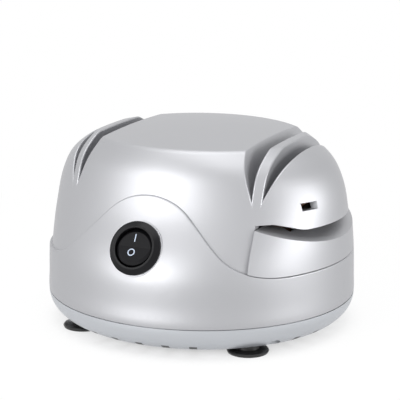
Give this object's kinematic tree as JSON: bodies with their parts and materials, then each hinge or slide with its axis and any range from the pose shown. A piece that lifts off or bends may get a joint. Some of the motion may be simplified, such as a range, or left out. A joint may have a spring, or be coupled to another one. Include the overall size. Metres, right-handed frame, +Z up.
{
  "type": "electric_knife_sharpener",
  "caption": "Silver electric kitchen sharpener with knife grooves on both sides, a scissors mouth, a screwdriver slot and a round rocker switch on rubber suction feet",
  "frame": {"origin": "Middle of the body on the table plane, under the four feet", "axes": "+X to the right pair of grooves and the scissors mouth, -Y to the switch, +Z up"},
  "size_m": [0.138, 0.1334, 0.0867],
  "materials": {
    "silver_paint": "satin",
    "base_plastic": "satin",
    "black_plastic": "satin",
    "foot_rubber": "gloss",
    "plated_steel": "satin",
    "stack_steel": "satin",
    "copper_wire": "satin",
    "bush_bronze": "satin",
    "wheel_grit": "matte",
    "fan_plastic": "matte",
    "brush_carbon": "matte",
    "board_laminate": "satin",
    "component_plastic": "satin"
  },
  "bodies": {
    "body": {"base_pan": "base_plastic", "board_screws": "plated_steel", "bracket_screws": "plated_steel", "bridge_rectifier": "component_plastic", "brush_holder_front": "fan_plastic", "brush_holder_rear": "fan_plastic", "carbon_brush_front": "brush_carbon", "carbon_brush_rear": "brush_carbon", "circuit_board": "board_laminate", "cord_grommet": "black_plastic", "dust_shield_left": "fan_plastic", "dust_shield_right": "fan_plastic", "end_bracket_left": "plated_steel", "end_bracket_right": "plated_steel", "field_coil_lower": "copper_wire", "field_coil_upper": "copper_wire", "foot_front_left": "foot_rubber", "foot_front_right": "foot_rubber", "foot_rear_left": "foot_rubber", "foot_rear_right": "foot_rubber", "foot_screws": "plated_steel", "housing_screws": "plated_steel", "motor_bearing_left": "bush_bronze", "motor_bearing_right": "bush_bronze", "motor_bolts": "plated_steel", "scissors_guide": "silver_paint", "stator_core": "stack_steel", "suppressor_capacitor": "component_plastic", "switch_body": "black_plastic", "switch_terminals": "copper_wire", "terminal_block": "component_plastic", "upper_housing": "silver_paint"},
    "rotor": {"motor_shaft": "plated_steel", "armature_core": "stack_steel", "armature_winding": "copper_wire", "commutator": "copper_wire", "cooling_fan": "fan_plastic", "grinding_wheel_left": "wheel_grit", "grinding_wheel_right": "wheel_grit", "wheel_hub_left": "plated_steel", "wheel_hub_right": "plated_steel", "wheel_washer_left": "plated_steel", "wheel_washer_right": "plated_steel", "wheel_nut_left": "plated_steel", "wheel_nut_right": "plated_steel"},
    "rocker": {"switch_rocker": "black_plastic"}
  },
  "joints": [
    {"name": "motor_spin", "type": "hinge", "parent": "body", "child": "rotor", "pos_m": [0, 0, 0.0454], "axis": [1, 0, 0], "continuous": true},
    {"name": "switch_rocker_tilt", "type": "hinge", "parent": "body", "child": "rocker", "pos_m": [-0.0015, -0.05982, 0.04561], "axis": [1, 0, 0], "range_deg": [0, 18]}
  ]
}
